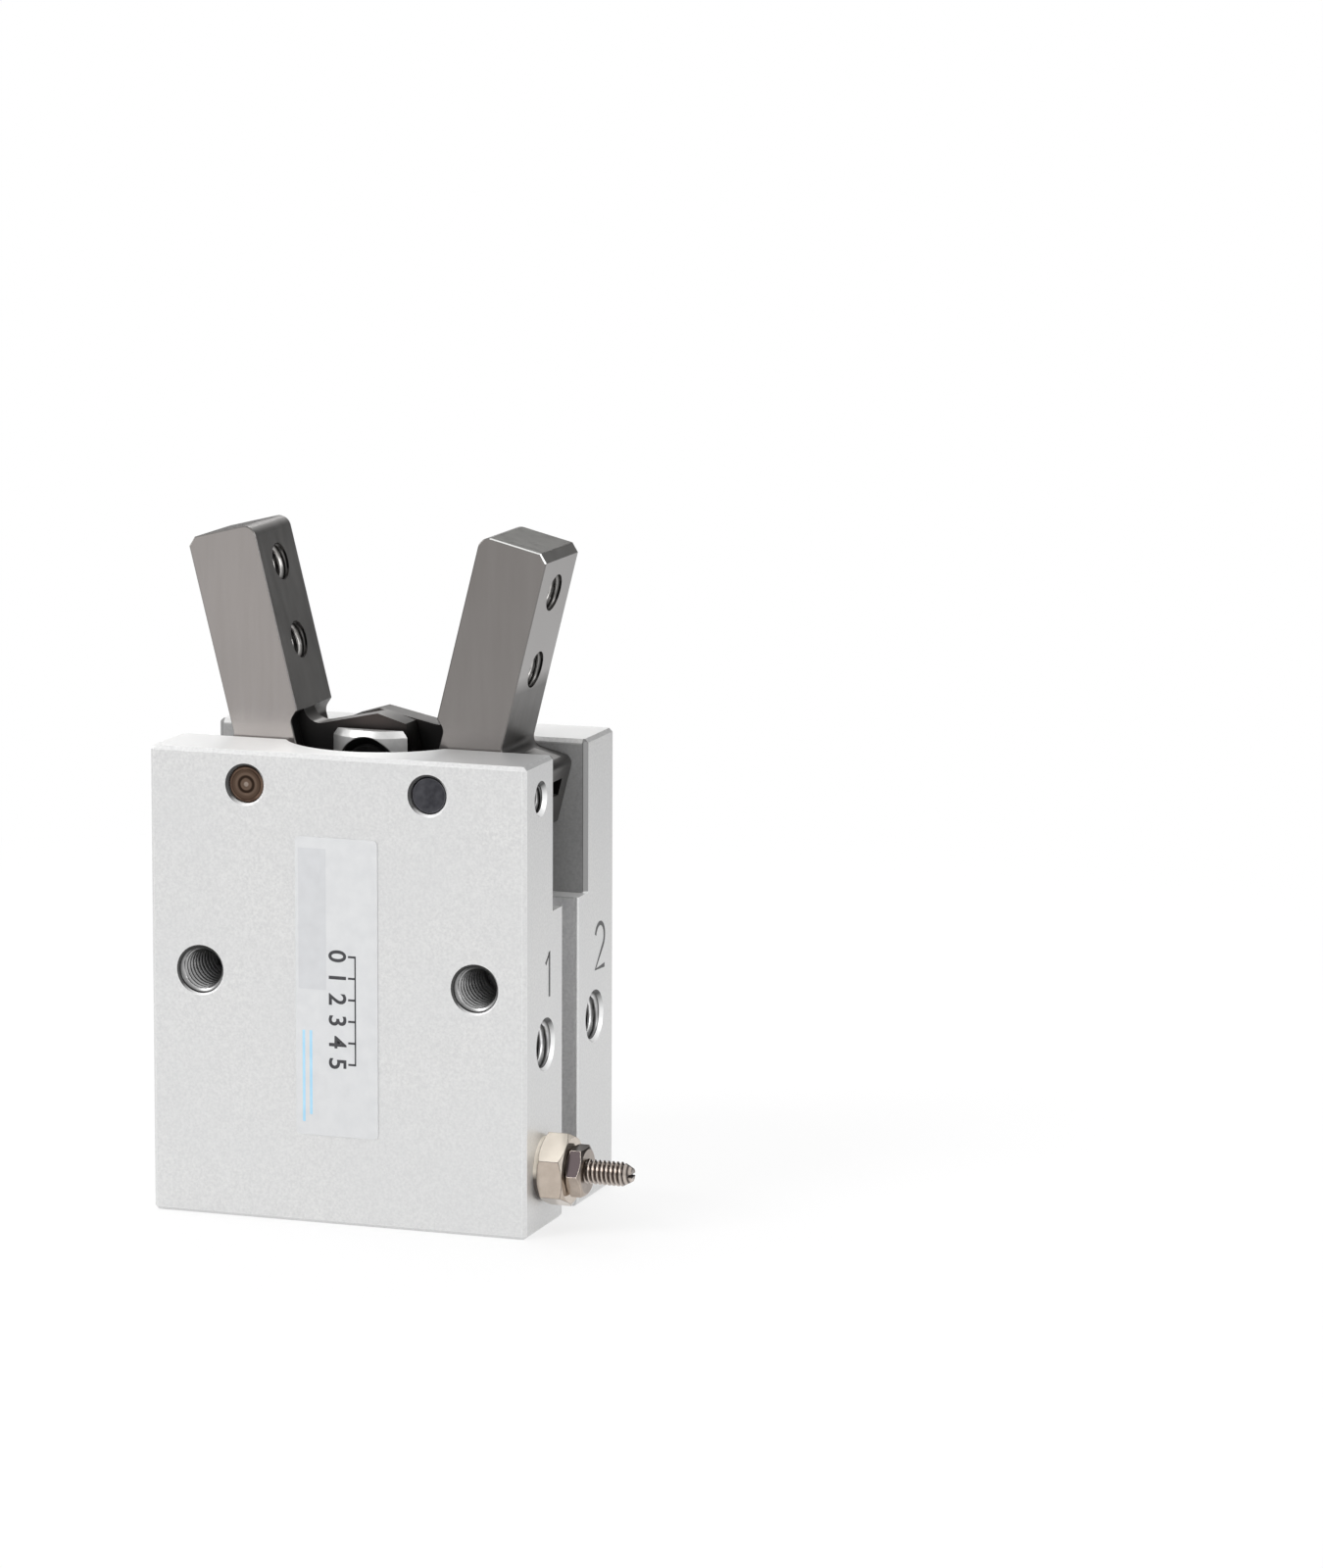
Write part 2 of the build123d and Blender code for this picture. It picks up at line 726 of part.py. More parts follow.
def build_nodes():
    right_finger = pose_right(make_finger())
    right_bush = pose_right(make_bush())
    pin = make_pin()
    grub = make_grub()
    flipped_pin = turn_about(pin)
    return {
        "body": make_body(),
        "finger_right": right_finger,
        "finger_left": turn_about(right_finger),
        "finger_bush_right": right_bush,
        "finger_bush_left": turn_about(right_bush),
        "pivot_pin_left": Pos(-pivot_x, 0, pivot_z) * pin,
        "pivot_pin_right": Pos(pivot_x, 0, pivot_z) * flipped_pin,
        "pin_grub_screw_right": grub,
        "pin_grub_screw_left": mirror(grub, Plane.YZ),
        "rod_end": make_rod_end(),
        "cross_pin": make_cross_pin(),
        "roller_front": make_roller(-1),
        "roller_rear": make_roller(1),
        "piston_rod": make_piston_rod(),
        "piston": make_piston(),
        "piston_seal": make_piston_seal(),
        "piston_wear_ring": make_wear_ring(),
        "magnet_ring": make_magnet(),
        "piston_screw": make_piston_screw(),
        "rod_cover": make_rod_cover(),
        "rod_bush": make_rod_bush(),
        "rod_seal": make_rod_seal(),
        "rod_cover_o_ring": make_cover_ring(),
        "retaining_ring_upper": make_clip(cover_bore_radius, cover_top),
        "retaining_ring_lower": make_clip(bore_radius, lower_clip_height),
        "head_cap": make_head_cap(),
        "head_cap_o_ring": make_cap_ring(),
        "bumper_upper": make_bumper(upper_bumper_bottom),
        "bumper_lower": make_bumper(cap_top),
        "needle_valve_body": make_needle_body(),
        "needle_valve_gasket": make_gasket(),
        "needle_lock_nut": make_lock_nut(),
        "needle_screw": make_needle_screw(),
        "air_way_plugs": make_plugs(),
        "label": make_label(),
    }


os.makedirs("parts", exist_ok=True)
for node_name, node_shape in build_nodes().items():
    export_step(node_shape, "parts/" + node_name + ".step")
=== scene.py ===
import bpy
import bmesh
import json
import math
from mathutils import Matrix, Vector


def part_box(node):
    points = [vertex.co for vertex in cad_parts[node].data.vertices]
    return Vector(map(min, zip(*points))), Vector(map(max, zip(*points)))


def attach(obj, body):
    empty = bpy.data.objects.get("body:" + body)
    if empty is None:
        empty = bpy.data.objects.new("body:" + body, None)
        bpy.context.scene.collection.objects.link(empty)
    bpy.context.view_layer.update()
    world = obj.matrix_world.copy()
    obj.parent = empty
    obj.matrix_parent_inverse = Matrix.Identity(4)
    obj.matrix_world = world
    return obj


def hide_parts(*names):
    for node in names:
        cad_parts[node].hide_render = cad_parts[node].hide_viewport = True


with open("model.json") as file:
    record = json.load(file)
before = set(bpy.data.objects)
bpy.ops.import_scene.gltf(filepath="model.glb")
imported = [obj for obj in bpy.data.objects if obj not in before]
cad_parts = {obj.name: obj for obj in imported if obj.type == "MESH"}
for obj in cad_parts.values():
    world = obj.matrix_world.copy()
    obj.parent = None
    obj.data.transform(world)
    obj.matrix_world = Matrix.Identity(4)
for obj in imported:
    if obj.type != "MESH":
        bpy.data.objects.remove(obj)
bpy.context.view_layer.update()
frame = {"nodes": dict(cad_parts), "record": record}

# The looks of a pneumatic angular gripper. Metres, +X right along the front, +Y to the back, +Z up.
MM = 0.001
HOUSING = "housing"

# Camera, found from the block's corners in the photograph
CAMERA_PLACE = (0.2392, -0.6149, 0.1587)
CAMERA_YAW = math.radians(18.70)
CAMERA_PITCH = math.radians(9.79)
CAMERA_ROLL = math.radians(0.23)
CAMERA_LENS = 144.8
SENSOR_HEIGHT = 36.0

# Lamps: place, size and power of each. All of them aim at one point inside the part.
LAMPS = {
    "key_lamp": ((-0.55, -0.75, 0.75), 0.55, 5.4),
    "side_lamp": ((0.85, -0.15, 0.45), 0.45, 2.0),
    "left_lamp": ((-0.85, 0.15, 0.45), 0.45, 1.8),
    "back_lamp": ((-0.25, 0.75, 0.85), 0.60, 2.8),
}
LAMP_AIM = (0, 0, 0.035)
FLOOR_REACH = 8.0

# Threads: pitch for each nominal radius in millimetres, then the ridge's form as shares of the pitch
PITCH = {1.5: 0.5, 2.0: 0.7, 2.5: 0.8}
THREAD_DEPTH = 0.54
ROOT_SHARE = 0.12
FLANK_SHARE = 0.70
STEPS_ROUND = 40
ROWS_PER_TURN = 10
THREAD_SMOOTH = 50
SLEEVE_GAP = 0.01 * MM
LEAD_IN = 0.5 * MM

# Where threads start and end in their holes, in millimetres
PORT_MOUTH = 0.35
PORT_END_GAP = 0.1
GRUB_MOUTH = 0.4
GRUB_MOUTH_AND_GAP = 0.45
FINGER_HOLE_INSET = 0.25
MOUNT_MOUTH = 0.20
MOUNT_DEPTHS = {"front_mount": 9.6, "back_mount": 9.6, "bottom_mount": 7.6}

# The needle screw
NEEDLE_RADIUS = 1.3 * MM
NEEDLE_PITCH = 0.5 * MM
NEEDLE_CONE = 3.0 * MM
NEEDLE_TIP_RADIUS = 0.45 * MM
NEEDLE_NOSE = 1.1 * MM
NEEDLE_NOSE_RADIUS = 0.7 * MM
NEEDLE_HIDDEN_THREAD = 1.0 * MM
NEEDLE_SLOT = (0.7 * MM, 4.0 * MM, 0.3 * MM)

# The turned rings on the left pin's end: radius and height of each, then radii where their painted shading
# fades
PIN_FACE_SUNK = 0.08
PIN_FACE = ((1.62, 0.03), (1.50, 0.07), (1.32, 0.08), (1.02, 0.06), (0.92, 0.01), (0.70, 0.01),
            (0.60, 0.07), (0.40, 0.06), (0.20, 0.02))
PIN_RIM = (1.48, 1.64)
PIN_DARK = (0.032, 0.020, 0.014)
PIN_LIGHT = (0.150, 0.104, 0.078)
PIN_DIMPLE = (0.33, 0.27, 0.23)
PIN_TONES = (((1.32, 1.16), PIN_LIGHT), ((1.02, 0.88), PIN_DARK), ((0.70, 0.56), PIN_LIGHT),
             ((0.30, 0.20), PIN_DIMPLE))

# Print: heights, widths and places in millimetres
NUMBER_HEIGHT = 4.8
NUMBER_STROKE = 0.48
NUMBER_THICKNESS = 0.012
NUMBER_PLACES = {"port_number_one": (-6.8, 27.0), "port_number_two": (9.4, 27.1)}
PRINT_THICKNESS = 0.008
DIGIT_SIZE = 2.7
DIGIT_TOP = 3.4
DIGIT_STEP = 2.3
DIGIT_WEIGHT = 0.018
BLUE_BARS = ((-2.9, 9.0, -9.2), (-3.7, 9.8, -9.6))

# Bands on the block, in millimetres: painted light and shade is absent at the first number and full at the
# second
SLOT_WALLS = (33.3, 33.5)
BELOW_SLOT = (33.4, 33.2)
BESIDE_SLOT = (5.6, 5.7)
BESIDE_GROOVE = (3.2, 3.4)
SLOT_END_HEIGHT = (33.6, 33.7)
SLOT_END_REACH = (20.4, 20.5)
SLOT_END_DEPTH = (5.62, 5.56)
FINGER_REFLECTION_REACH = (3.0, 10.0)
TOP_FRONT_PLATE = (-4.5, -5.0)

# Bands on the fingers
SHADED_FOOT = (57.7, 55.9)
TIP = (66.0, 67.0)
RIGHT_OF_CENTRE = (0.0, 1.0)
ACROSS_CENTRE = (-0.5, 0.5)
LEVER_WIDTH = (3.3, 3.2)
LEVER_TOP = (53.5, 53.2)
LEVER_ROOT = (2.5, 6.0)
BEND_BELOW_FACE = (52.98, 52.90)
BEND_TOP = (53.5, 53.3)
BEND_BOTTOM = (49.5, 50.0)
BEND_REACH = (5.5, 6.5)
CHEEK_DEPTH = (4.6, 4.4)
RECESS_NEAR = (3.0, 3.15)
RECESS_FAR = (4.95, 4.85)
RECESS_REACH = (9.4, 9.0)
RECESS_TOP = (52.9, 52.6)
RIDGE_HEIGHT = (50.6, 52.4)
RIDGE_REACH = (6.0, 1.0)

# Bands on the rod end's ears: the countersinks' rims and the ears' outer faces
COUNTERSINK = (3.35, 3.20)
EAR_FACE = (3.9, 4.0)

mounts = {m["name"]: m for m in frame["record"]["mounts"]}


def put_in_scene(obj):
    bpy.context.scene.collection.objects.link(obj)
    return obj


def add_mesh(name, verts, faces, smooth_angle=35):
    """A mesh object whose place is in its vertices."""
    mesh = bpy.data.meshes.new(name)
    mesh.from_pydata([tuple(v) for v in verts], [], faces)
    mesh.validate()
    build = bmesh.new()
    build.from_mesh(mesh)
    bmesh.ops.recalc_face_normals(build, faces=build.faces)
    build.to_mesh(mesh)
    build.free()
    mesh.shade_smooth()
    mesh.set_sharp_from_angle(angle=math.radians(smooth_angle))
    return put_in_scene(bpy.data.objects.new(name, mesh))


def middle_of(node):
    low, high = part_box(node)
    return (low + high) / 2


def turned_frame(origin, axis):
    """A matrix that takes local +Z to an axis, with its zero at a point."""
    turn = Vector((0, 0, 1)).rotation_difference(Vector(axis).normalized()).to_matrix().to_4x4()
    return Matrix.Translation(Vector(origin)) @ turn


def ring(place, radii, height):
    """Points round local +Z at one height, at equal turns, one for each radius."""
    points = []
    for i, radius in enumerate(radii):
        turn = math.tau * i / len(radii)
        points.append(place @ Vector((radius * math.cos(turn), radius * math.sin(turn), height)))
    return points


def ring_faces(first, second, count):
    """Faces between two rings, each given by the number of its first point."""
    faces = []
    for i in range(count):
        j = (i + 1) % count
        faces.append((first + i, first + j, second + j, second + i))
    return faces


def lathe(name, profile, origin, axis, steps=64):
    """A closed turned piece from (radius, height) points that start and end on the axis."""
    place = turned_frame(origin, axis)
    verts = [place @ Vector((0, 0, profile[0][1]))]
    for radius, height in profile[1:-1]:
        verts += ring(place, [radius] * steps, height)
    verts.append(place @ Vector((0, 0, profile[-1][1])))
    starts = range(1, len(verts) - 1, steps)
    faces = []
    for i in range(steps):
        j = (i + 1) % steps
        faces.append((0, 1 + j, 1 + i))
        faces.append((len(verts) - 1, starts[-1] + i, starts[-1] + j))
    for start in starts[:-1]:
        faces += ring_faces(start, start + steps, steps)
    return add_mesh(name, verts, faces)


def ridge(phase):
    """Height of a thread's flank at a phase of its pitch, from 0 at the root to 1 at the crest."""
    folded = abs((phase % 1.0) - 0.5) * 2
    return min(max((folded - ROOT_SHARE) / FLANK_SHARE, 0.0), 1.0)


def keep_crests(obj, crests):
    """Stores each vertex's height on the thread, 0 at the root and 1 at the crest, for its painted shade and
    highlight.
    """
    layer = obj.data.attributes.new("crest", "FLOAT", "POINT")
    layer.data.foreach_set("value", crests)
    return obj


def inner_thread(name, mouth, axis, radius, length, pitch):
    """A threaded sleeve that lines a hole. It runs inwards from its mouth, against the axis."""
    steps = STEPS_ROUND
    rows = int(length / pitch * ROWS_PER_TURN)
    place = turned_frame(mouth, axis)
    verts = []
    crests = []
    for row in range(rows + 1):
        z = -length * row / rows
        fade = min((-z) / LEAD_IN, 1.0) * min((z + length) / LEAD_IN, 1.0)
        lifts = [ridge(-z / pitch - i / steps) * fade for i in range(steps)]
        verts += ring(place, [radius - SLEEVE_GAP * 2 - lift * THREAD_DEPTH * pitch for lift in lifts], z)
        crests += lifts
    top = len(verts)
    for z in (0.0, -length):
        verts += ring(place, [radius - SLEEVE_GAP] * steps, z)
        crests += [0.0] * steps
    faces = []
    for row in range(rows):
        faces += ring_faces(row * steps, (row + 1) * steps, steps)
    for first, second in ((top, top + steps), (0, top), (rows * steps, top + steps)):
        faces += ring_faces(first, second, steps)
    return keep_crests(add_mesh(name, verts, faces, THREAD_SMOOTH), crests)


def threaded_needle(name, tip, end_x, thread_from):
    """The needle screw along +X: a cone, a plain shank and a thread with a blunt nose."""
    steps = STEPS_ROUND
    place = turned_frame(tip, (1, 0, 0))
    length = end_x - tip[0]
    thread_low = thread_from - tip[0]
    rows = int((length - thread_low) / NEEDLE_PITCH * ROWS_PER_TURN)
    rings = [(0.0, NEEDLE_TIP_RADIUS), (NEEDLE_CONE, NEEDLE_RADIUS)]
    rings.append((thread_low - NEEDLE_PITCH, NEEDLE_RADIUS))
    for row in range(rows + 1):
        z = thread_low + (length - thread_low) * row / rows
        taper = max(z - (length - NEEDLE_NOSE), 0.0) / NEEDLE_NOSE
        rings.append((z, NEEDLE_RADIUS - taper * (NEEDLE_RADIUS - NEEDLE_NOSE_RADIUS)))
    verts = []
    crests = []
    for z, radius in rings:
        fade = min(max((z - thread_low) / NEEDLE_PITCH, 0.0), 1.0)
        drops = [(1 - ridge(z / NEEDLE_PITCH - i / steps)) * fade for i in range(steps)]
        cut = THREAD_DEPTH * NEEDLE_PITCH
        verts += ring(place, [min(radius, NEEDLE_RADIUS - drop * cut) for drop in drops], z)
        crests += [1 - drop for drop in drops]
    faces = [tuple(reversed(range(steps)))]
    for row in range(len(rings) - 1):
        faces += ring_faces(row * steps, (row + 1) * steps, steps)
    faces.append(tuple(range(len(verts) - steps, len(verts))))
    return keep_crests(add_mesh(name, verts, faces, THREAD_SMOOTH), crests)


class Nodes:
    """Short forms for the nodes of one node tree."""

    def __init__(self, tree):
        self.tree = tree

    def node(self, kind, **settings):
        made = self.tree.nodes.new(kind)
        for key, value in settings.items():
            setattr(made, key, value)
        return made

    def link(self, source, target):
        self.tree.links.new(source, target)

    def feed(self, value, socket):
        """Gives a socket a number, a colour or another node's output."""
        if isinstance(value, (int, float)):
            socket.default_value = value
        elif isinstance(value, tuple):
            socket.default_value = (*value, 1)
        else:
            self.link(value, socket)

    def remap(self, value, low, high, out_low, out_high):
        """Takes one range of numbers to another and stays within it."""
        made = self.node("ShaderNodeMapRange")
        for slot, number in zip(("From Min", "From Max", "To Min", "To Max"), (low, high, out_low, out_high)):
            made.inputs[slot].default_value = number
        self.link(value, made.inputs["Value"])
        return made.outputs["Result"]

    def ramp(self, value, none_at, full_at):
        """A mask that is 0 at one number and 1 at the other."""
        return self.remap(value, none_at, full_at, 0.0, 1.0)

    def band(self, place, ends):
        """The same for a place, with the two numbers in millimetres."""
        return self.ramp(place, ends[0] * MM, ends[1] * MM)

    def mix(self, factor, first, second):
        """A mixed colour."""
        blend = self.node("ShaderNodeMix", data_type="RGBA")
        for slot, value in ((0, factor), (6, first), (7, second)):
            self.feed(value, blend.inputs[slot])
        return blend.outputs[2]

    def mix_number(self, factor, first, second):
        blend = self.node("ShaderNodeMix", data_type="FLOAT")
        for slot, value in ((0, factor), (2, first), (3, second)):
            self.feed(value, blend.inputs[slot])
        return blend.outputs[0]

    def calculate(self, operation, first, second=None):
        made = self.node("ShaderNodeMath", operation=operation)
        self.feed(first, made.inputs[0])
        if second is not None:
            self.feed(second, made.inputs[1])
        return made.outputs[0]

    def absolute(self, value):
        return self.calculate("ABSOLUTE", value)

    def product(self, *values):
        """Several masks at once, or several numbers multiplied."""
        result = values[0]
        for value in values[1:]:
            result = self.calculate("MULTIPLY", result, value)
        return result

    def largest(self, *values):
        """Any of several masks."""
        result = values[0]
        for value in values[1:]:
            result = self.calculate("MAXIMUM", result, value)
        return result

    def distance(self, across, up):
        """How far a point is from an axis."""
        squares = self.calculate("ADD", self.product(across, across), self.product(up, up))
        return self.calculate("SQRT", squares)

    def parts(self, vector):
        """The three numbers of a vector."""
        split = self.node("ShaderNodeSeparateXYZ")
        self.link(vector, split.inputs[0])
        return split.outputs

    def white_to_camera(self, strength):
        """1 for rays from the camera, and a given strength for all other rays."""
        path = self.node("ShaderNodeLightPath")
        return self.mix_number(path.outputs["Is Camera Ray"], strength, 1.0)


class Finish(Nodes):
    """A procedural material built step by step on one principled shader."""

    def __init__(self, name, metallic, roughness):
        self.material = bpy.data.materials.new(name)
        self.material.use_nodes = True
        super().__init__(self.material.node_tree)
        self.shader = self.tree.nodes["Principled BSDF"]
        self.shader.inputs["Metallic"].default_value = metallic
        self.shader.inputs["Roughness"].default_value = roughness
        self.coords = self.node("ShaderNodeTexCoord").outputs["Object"]
        self.normal = None

    def noise(self, scale, detail=3.0, stretch=(1, 1, 1)):
        mapping = self.node("ShaderNodeMapping")
        mapping.inputs["Scale"].default_value = stretch
        self.link(self.coords, mapping.inputs["Vector"])
        noise = self.node("ShaderNodeTexNoise")
        noise.inputs["Scale"].default_value = scale
        noise.inputs["Detail"].default_value = detail
        noise.inputs["Roughness"].default_value = 0.55
        self.link(mapping.outputs["Vector"], noise.inputs["Vector"])
        return noise.outputs["Fac"]

    def surface_normal(self):
        return self.parts(self.node("ShaderNodeNewGeometry").outputs["Normal"])

    def worn_edges(self, radius, low=0.995, high=0.90):
        """1 on sharp outer edges and 0 elsewhere, for painted highlights and painted shade along edges."""
        bevel = self.node("ShaderNodeBevel", samples=6)
        bevel.inputs["Radius"].default_value = radius
        geometry = self.node("ShaderNodeNewGeometry")
        dot = self.node("ShaderNodeVectorMath", operation="DOT_PRODUCT")
        self.link(bevel.outputs["Normal"], dot.inputs[0])
        self.link(geometry.outputs["Normal"], dot.inputs[1])
        return self.ramp(dot.outputs["Value"], low, high)

    def bump(self, height, strength, distance):
        bump = self.node("ShaderNodeBump")
        bump.inputs["Strength"].default_value = strength
        bump.inputs["Distance"].default_value = distance
        self.link(height, bump.inputs["Height"])
        self.normal = bump.outputs["Normal"]

    def metallic(self, mask, elsewhere, on_mask):
        """A lower metallic share where a mask is 1."""
        self.link(self.remap(mask, 0.0, 1.0, elsewhere, on_mask), self.shader.inputs["Metallic"])

    def done(self, colour, roughness=None):
        self.link(colour, self.shader.inputs["Base Color"])
        if roughness is not None:
            self.link(roughness, self.shader.inputs["Roughness"])
        if self.normal is not None:
            self.link(self.normal, self.shader.inputs["Normal"])
        return self.material


def inner_surfaces(f):
    """1 on the block's slot, grooves, holes and bore, and 0 on its outer faces and chamfers."""
    low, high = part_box("body")
    masks = []
    for value, lowest, highest in zip(f.parts(f.coords), low, high):
        off_centre = f.absolute(f.calculate("SUBTRACT", value, (lowest + highest) / 2))
        reach = (highest - lowest) / 2
        masks.append(f.ramp(off_centre, reach - 0.42 * MM, reach - 0.62 * MM))
    return f.product(*masks)


def hole_mouths(f, x, y, z):
    """A mask of the broken edges of holes and grooves, and how far each faces up and left as seen in view."""
    low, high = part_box("body")
    reach = (high - low) / 2
    facing = f.surface_normal()
    side = f.absolute(x)
    depth = f.absolute(y)
    level = f.absolute(f.calculate("SUBTRACT", z, reach.z))
    off_ends = f.ramp(level, reach.z - 0.6 * MM, reach.z - 0.8 * MM)
    on_front = f.product(
        off_ends,
        f.ramp(depth, reach.y - 0.42 * MM, reach.y - 0.40 * MM),
        f.ramp(side, reach.x - 0.5 * MM, reach.x - 0.7 * MM),
        f.ramp(f.absolute(facing[1]), 0.92, 0.88),
    )
    below_slot = f.product(f.band(z, BELOW_SLOT), f.band(depth, BESIDE_GROOVE))
    on_side = f.product(
        off_ends,
        f.ramp(side, reach.x - 0.42 * MM, reach.x - 0.40 * MM),
        f.ramp(depth, reach.y - 0.5 * MM, reach.y - 0.7 * MM),
        f.largest(f.band(depth, BESIDE_SLOT), below_slot),
        f.ramp(f.absolute(facing[0]), 0.92, 0.88),
    )
    up_left_front = f.calculate("SUBTRACT", facing[2], facing[0])
    up_left_side = f.calculate("SUBTRACT", facing[2], facing[1])
    return f.largest(on_front, on_side), f.mix_number(on_side, up_left_front, up_left_side)


def blasted_anodised():
    """The block: bead blasted, clear anodised aluminium with painted highlights on its chamfers."""
    f = Finish("blasted_anodised", 0.80, 0.43)
    x, y, z = f.parts(f.coords)
    grain = f.noise(3800, 2.0)
    speckle = f.ramp(grain, 0.30, 0.70)
    cloud = f.remap(f.noise(90, 3.0), 0.35, 0.65, 0, 0.35)
    tone = f.mix(speckle, (0.675, 0.675, 0.675), (0.79, 0.79, 0.785))
    soft = f.mix(cloud, tone, (0.70, 0.705, 0.71))
    # Painted highlight: a light line along the block's sharp edges.
    edge_highlit = f.mix(f.worn_edges(0.12 * MM), soft, (0.93, 0.93, 0.93))
    # Painted shade: the slot's ends at the side faces are darker.
    shaded_slot_end = f.product(
        f.band(z, SLOT_END_HEIGHT),
        f.band(f.absolute(x), SLOT_END_REACH),
        f.band(f.absolute(y), SLOT_END_DEPTH),
    )
    outside = f.mix(shaded_slot_end, edge_highlit, (0.30, 0.30, 0.30))
    # Painted shade: the block's slot, grooves, holes and bore are darker than its outer faces, the slot
    # darkest.
    groove = f.mix(speckle, (0.50, 0.50, 0.505), (0.61, 0.61, 0.61))
    slot = f.mix(speckle, (0.34, 0.34, 0.34), (0.41, 0.41, 0.41))
    inside = inner_surfaces(f)
    sides = f.mix(inside, outside, f.mix(f.band(z, SLOT_WALLS), groove, slot))
    # Painted light: faces that look up are lighter. Beside the right finger a painted reflection of it
    # darkens the top.
    finger_reflection = f.product(f.band(x, FINGER_REFLECTION_REACH), f.band(y, TOP_FRONT_PLATE))
    top = f.mix(finger_reflection, (0.90, 0.90, 0.895), (0.55, 0.55, 0.55))
    upward = f.ramp(f.surface_normal()[2], 0.90, 0.98)
    mouth, lit = hole_mouths(f, x, y, z)
    # Painted light and shade: hole and groove chamfers light where they face up and left, dark where they
    # face away.
    rim = f.mix(f.ramp(lit, -0.15, 0.70), (0.06, 0.06, 0.06), (0.95, 0.95, 0.95))
    f.bump(grain, 0.22, 0.02 * MM)
    f.metallic(f.largest(upward, inside, mouth), 0.80, 0.38)
    return f.done(f.mix(mouth, f.mix(upward, sides, top), rim), f.remap(grain, 0.3, 0.7, 0.36, 0.48))


def ground_faces(f, x, z, facing, fibre):
    """Ground finger faces in painted light and shade: inner, outer and broad ones, a dark foot and a lit edge
    at the tip.
    """
    right = f.band(x, RIGHT_OF_CENTRE)
    outward = f.ramp(f.product(x, facing[0]), 0.0, 1 * MM)
    # Painted light and shade: inner faces lighter than outer ones, and each face direction with a tone of its
    # own.
    inner = f.mix(fibre, (0.50, 0.49, 0.48), (0.54, 0.53, 0.52))
    outer = f.mix(fibre, (0.375, 0.365, 0.360), (0.405, 0.395, 0.390))
    # Painted shade: the outer faces darken at the foot.
    shaded_foot = f.product(outward, f.band(z, SHADED_FOOT))
    # At the right finger's tip: painted shade on its top face and a painted highlight on the chamfer at its
    # corner.
    tip = f.product(outward, f.band(z, TIP))
    tip_top = f.product(tip, f.ramp(facing[2], 0.85, 0.93), right)
    tip_corner = f.product(tip, f.ramp(facing[2], 0.3, 0.4), f.ramp(facing[2], 0.75, 0.65))
    faces = f.mix(tip_top, f.mix(outward, inner, outer), (0.225, 0.222, 0.211))
    narrow = f.mix(shaded_foot, f.mix(tip_corner, faces, (0.66, 0.65, 0.63)), (0.085, 0.082, 0.079))
    broad = f.mix(fibre, (0.364, 0.336, 0.322), (0.392, 0.364, 0.350))
    shaded_front = f.mix(fibre, (0.228, 0.213, 0.204), (0.246, 0.231, 0.222))
    sideways = f.absolute(facing[1])
    flat_side = f.ramp(sideways, 0.75, 0.9)
    # Painted shade: the right finger's front face is darker.
    right_front = f.product(f.ramp(facing[1], -0.75, -0.9), f.band(x, ACROSS_CENTRE))
    tone = f.mix(right_front, f.mix(flat_side, narrow, broad), shaded_front)
    soft = f.mix(f.remap(f.noise(60, 2.0), 0.35, 0.65, 0, 0.25), tone, (0.30, 0.288, 0.280))
    # Slanted chamfers are darker, and at the right finger's tip a painted glint lies on them.
    slanted = f.product(f.ramp(sideways, 0.45, 0.55), f.ramp(sideways, 0.88, 0.80))
    gleam = f.product(tip, slanted, f.ramp(facing[2], 0.2, 0.3), right)
    broken = f.mix(slanted, soft, (0.21, 0.20, 0.194))
    return f.mix(gleam, broken, (0.98, 0.98, 0.97)), flat_side


def lever_roof(f, x, y, z, facing, tone):
    """The lever's upper face, in painted shade: darker towards its root, and darker on the rear lever."""
    roof = f.product(
        f.ramp(facing[2], 0.90, 0.94),
        f.ramp(f.product(facing[0], y), 0.0, 0.2 * MM),
        f.band(f.absolute(y), LEVER_WIDTH),
        f.band(z, LEVER_TOP),
    )
    rear = f.band(y, ACROSS_CENTRE)
    front_tone = f.mix(f.band(f.absolute(x), LEVER_ROOT), (0.47, 0.457, 0.452), (0.16, 0.155, 0.152))
    f.metallic(f.product(roof, f.remap(rear, 0.0, 1.0, 1.0, 0.2)), 1.0, 0.35)
    return f.mix(roof, tone, f.mix(rear, front_tone, (0.27, 0.262, 0.257)))


def lever_bend(f, x, z, facing, tone):
    """The bevel under the inner face and the fillet below it, where the lever leaves the finger."""
    bevel = f.ramp(facing[2], -0.38, -0.46)
    bend = f.product(
        f.ramp(f.product(x, facing[0]), 0.0, -0.5 * MM),
        f.ramp(facing[2], 0.95, 0.90),
        f.largest(bevel, f.band(z, BEND_BELOW_FACE)),
        f.band(z, BEND_TOP),
        f.band(z, BEND_BOTTOM),
        f.band(f.absolute(x), BEND_REACH),
    )
    # Painted shade: the bevel near black and the fillet below it dark.
    return f.mix(bend, tone, f.mix(bevel, (0.13, 0.125, 0.12), (0.07, 0.067, 0.064)))


